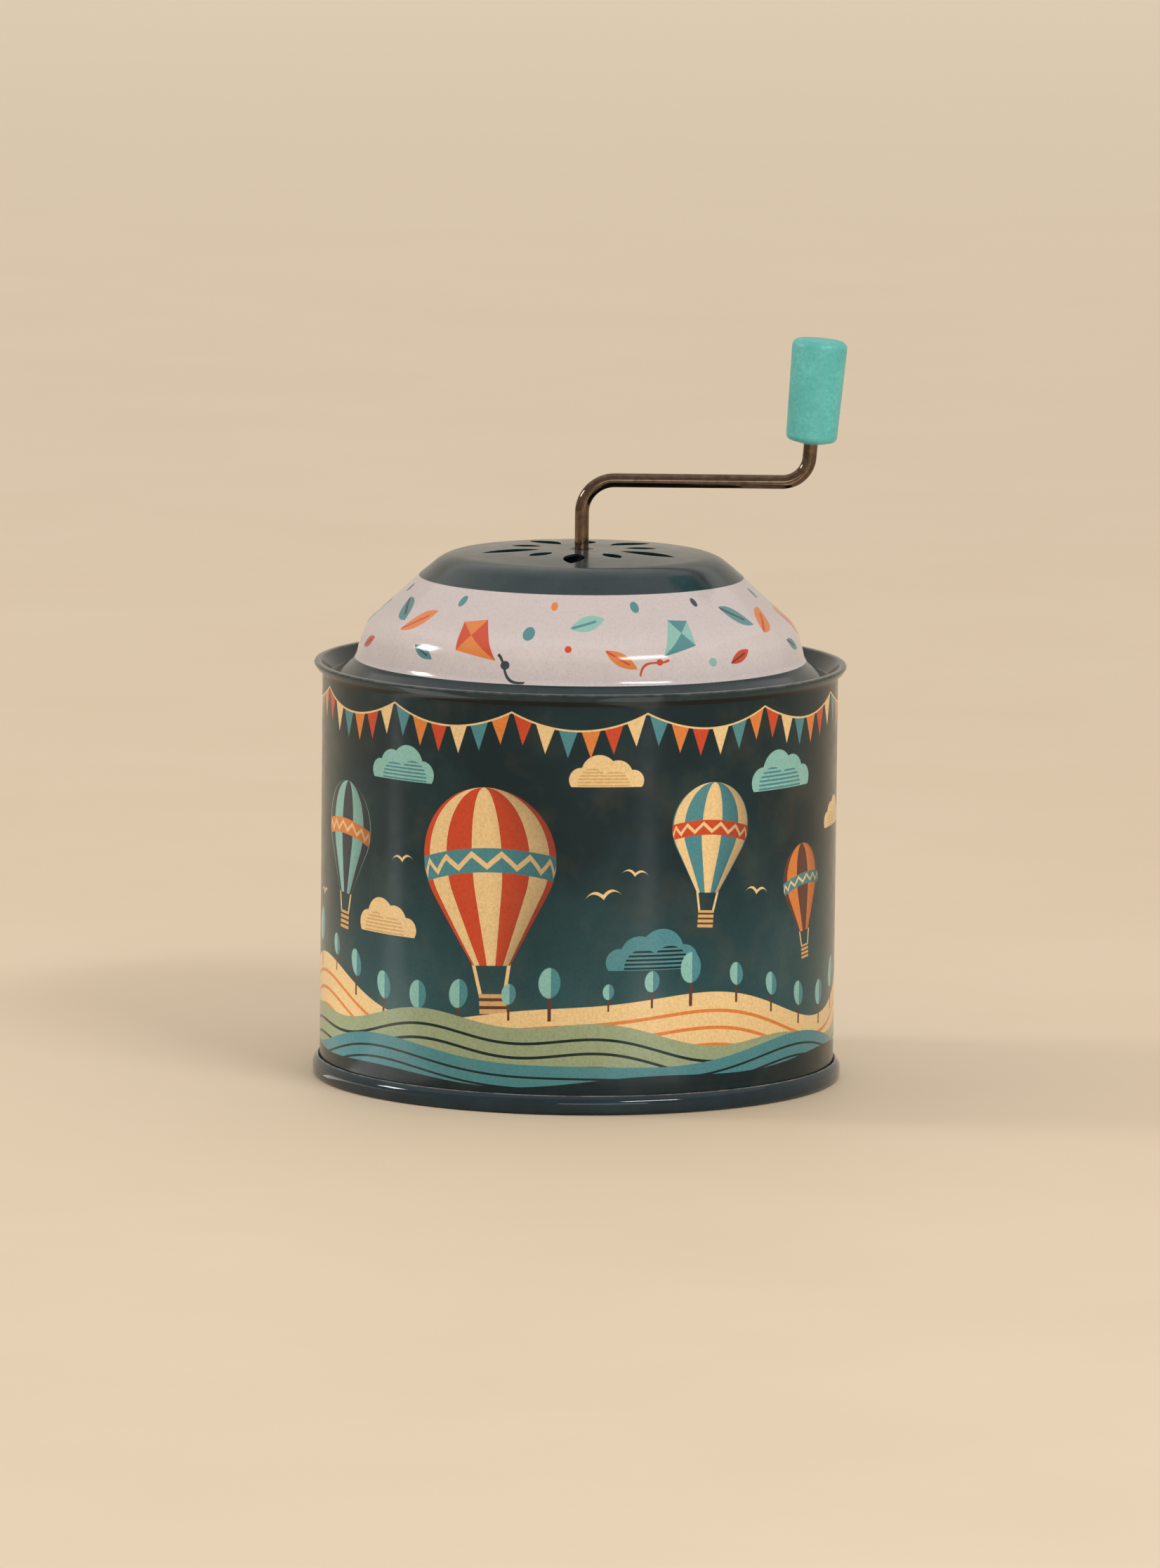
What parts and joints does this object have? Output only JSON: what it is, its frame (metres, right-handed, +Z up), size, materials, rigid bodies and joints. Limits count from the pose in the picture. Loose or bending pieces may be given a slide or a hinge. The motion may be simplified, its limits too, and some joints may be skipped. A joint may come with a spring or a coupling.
{
  "type": "hand crank music box",
  "caption": "Round tin music box with a stepped dome lid; turning the wire crank on top drives a worm, a pinned drum and a steel comb under the lid.",
  "frame": {"origin": "middle of the ring that the tin stands on", "axes": "+Z up along the can and the crank's shaft; -Y is the front; +X is where the crank arm points at rest"},
  "size_m": [0.0754, 0.0754, 0.1053],
  "materials": {
    "printed_tin": "lithographed print under gloss varnish",
    "rim_tin": "gloss enamel",
    "lid_tin": "lithographed print under gloss varnish",
    "bright_wire": "nickel plated",
    "knob_plastic": "moulded, satin",
    "brass": "turned",
    "nylon": "moulded",
    "zinc_steel": "zinc plated",
    "spring_steel": "ground",
    "screw_steel": "bright plated"
  },
  "bodies": {
    "tin": {"body_wall": "printed_tin", "base_disc": "rim_tin", "lid": "lid_tin", "shaft_bush": "brass", "bed_plate": "zinc_steel", "pivot_bush": "brass", "hanger_post_1": "zinc_steel", "hanger_post_2": "zinc_steel", "hanger_post_3": "zinc_steel", "post_screws": "screw_steel", "front_cheek": "zinc_steel", "rear_cheek": "zinc_steel", "cheek_screws": "screw_steel", "comb": "spring_steel", "comb_rail": "zinc_steel", "comb_screws": "screw_steel"},
    "crank": {"crank_rod": "bright_wire", "worm": "brass", "worm_pin": "spring_steel", "shaft_clip": "spring_steel", "thrust_washer": "spring_steel"},
    "knob": {"crank_knob": "knob_plastic"},
    "drum": {"worm_wheel": "nylon", "pin_drum": "brass", "drum_arbor": "spring_steel"}
  },
  "joints": [
    {"name": "crank_turn", "type": "hinge", "parent": "tin", "child": "crank", "pos_m": [0, 0, 0], "axis": [0, 0, 1], "continuous": true},
    {"name": "knob_spin", "type": "hinge", "parent": "crank", "child": "knob", "pos_m": [0.03225, 0, 0.0908], "axis": [0.0785, 0, 0.9969], "continuous": true},
    {"name": "drum_turn", "type": "hinge", "parent": "tin", "child": "drum", "pos_m": [-0.0088, 0, 0.05565], "axis": [0, 1, 0], "continuous": true}
  ],
  "couplings": [
    {"joint": "drum_turn", "follows": "crank_turn", "ratio": 0.055556}
  ]
}
